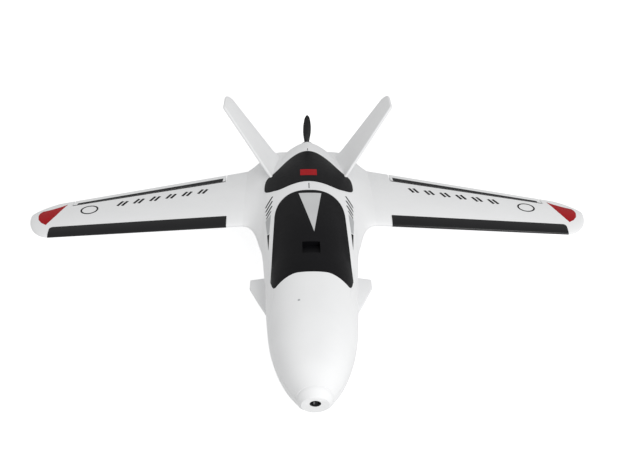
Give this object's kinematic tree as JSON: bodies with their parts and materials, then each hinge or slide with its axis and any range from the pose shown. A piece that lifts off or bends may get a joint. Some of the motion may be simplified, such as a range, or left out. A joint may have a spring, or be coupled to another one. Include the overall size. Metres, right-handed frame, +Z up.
{
  "type": "rc flying wing",
  "caption": "Radio controlled foam flying wing with a blended body, lift-off canopy, nose camera, canted tail fins, hinged elevons and a pusher propeller.",
  "frame": {"origin": "on the surface that the belly skid rests on, under the middle of the box in X and Y", "axes": "+X along the span to the right wing tip, -Y towards the nose, +Z up"},
  "size_m": [0.852, 0.604, 0.1742],
  "materials": {
    "foam": "matte",
    "black_skin": "satin",
    "black_plastic": "satin",
    "white_plastic": "satin",
    "lens_glass": "gloss",
    "magnet": "polished",
    "carbon": "satin",
    "steel": "satin",
    "servo_case": "satin",
    "battery_wrap": "gloss",
    "strap_webbing": "matte",
    "circuit_board": "satin",
    "motor_dark": "satin",
    "prop_plastic": "satin"
  },
  "bodies": {
    "airframe": {"fuselage_left": "foam", "fuselage_right": "foam", "body_magnets": "magnet", "rear_cover": "black_skin", "belly_skid": "black_plastic", "camera_bezel": "white_plastic", "camera_body": "black_plastic", "camera_lens": "lens_glass", "nose_strake_left": "foam", "nose_strake_right": "foam", "fin_left": "foam", "fin_right": "foam", "wing_left": "foam", "wing_right": "foam", "edge_guard_left": "black_skin", "edge_guard_right": "black_skin", "spar_left": "carbon", "spar_right": "carbon", "spar_joiner": "black_plastic", "wing_screws": "steel", "wing_hinges_left": "black_plastic", "wing_hinges_right": "black_plastic", "hinge_pins_left": "steel", "hinge_pins_right": "steel", "servo_left": "servo_case", "servo_right": "servo_case", "battery_tray": "carbon", "battery": "battery_wrap", "battery_strap": "strap_webbing", "speed_controller": "circuit_board", "flight_controller": "circuit_board", "board_standoffs": "black_plastic", "receiver": "black_plastic", "motor_mount": "black_plastic", "mount_screws": "steel", "motor_screws": "steel", "motor_stator": "motor_dark", "motor_bearings": "steel"},
    "canopy": {"canopy": "foam", "canopy_magnets": "magnet"},
    "rotor": {"motor_bell": "motor_dark", "rotor_magnets": "magnet", "propeller": "prop_plastic", "prop_nut": "steel"},
    "elevon_left": {"elevon_left": "foam", "elevon_hinges_left": "black_plastic", "control_horn_left": "black_plastic"},
    "servo_arm_left": {"servo_arm_left": "white_plastic", "arm_screws_left": "steel"},
    "pushrod_left": {"pushrod_left": "steel"},
    "elevon_right": {"elevon_right": "foam", "elevon_hinges_right": "black_plastic", "control_horn_right": "black_plastic"},
    "servo_arm_right": {"servo_arm_right": "white_plastic", "arm_screws_right": "steel"},
    "pushrod_right": {"pushrod_right": "steel"}
  },
  "joints": [
    {"name": "elevon_left_hinge", "type": "hinge", "parent": "airframe", "child": "elevon_left", "pos_m": [-0.156, 0.17129, 0.05795], "axis": [0.9662, 0.2572, 0.0199], "range_deg": [-25, 25]},
    {"name": "servo_left_turn", "type": "hinge", "parent": "airframe", "child": "servo_arm_left", "pos_m": [-0.1452, 0.13071, 0.05795], "axis": [0.9662, 0.2572, 0.0199], "range_deg": [-25, 25]},
    {"name": "pushrod_left_pivot", "type": "hinge", "parent": "servo_arm_left", "child": "pushrod_left", "pos_m": [-0.14497, 0.13077, 0.04595], "axis": [0.9662, 0.2572, 0.0199], "range_deg": [-25, 25]},
    {"name": "elevon_right_hinge", "type": "hinge", "parent": "airframe", "child": "elevon_right", "pos_m": [0.156, 0.17129, 0.05795], "axis": [0.9662, -0.2572, -0.0199], "range_deg": [-25, 25]},
    {"name": "servo_right_turn", "type": "hinge", "parent": "airframe", "child": "servo_arm_right", "pos_m": [0.1452, 0.13071, 0.05795], "axis": [0.9662, -0.2572, -0.0199], "range_deg": [-25, 25]},
    {"name": "pushrod_right_pivot", "type": "hinge", "parent": "servo_arm_right", "child": "pushrod_right", "pos_m": [0.14497, 0.13077, 0.04595], "axis": [0.9662, -0.2572, -0.0199], "range_deg": [-25, 25]},
    {"name": "propeller_spin", "type": "hinge", "parent": "airframe", "child": "rotor", "pos_m": [0, 0.29, 0.0635], "axis": [0, 1, 0], "continuous": true},
    {"name": "canopy_lift", "type": "slide", "parent": "airframe", "child": "canopy", "axis": [0, 0, 1], "range_m": [0, 0.12]}
  ],
  "couplings": [
    {"joint": "servo_left_turn", "follows": "elevon_left_hinge", "ratio": 1},
    {"joint": "pushrod_left_pivot", "follows": "elevon_left_hinge", "ratio": -1},
    {"joint": "servo_right_turn", "follows": "elevon_right_hinge", "ratio": 1},
    {"joint": "pushrod_right_pivot", "follows": "elevon_right_hinge", "ratio": -1}
  ]
}
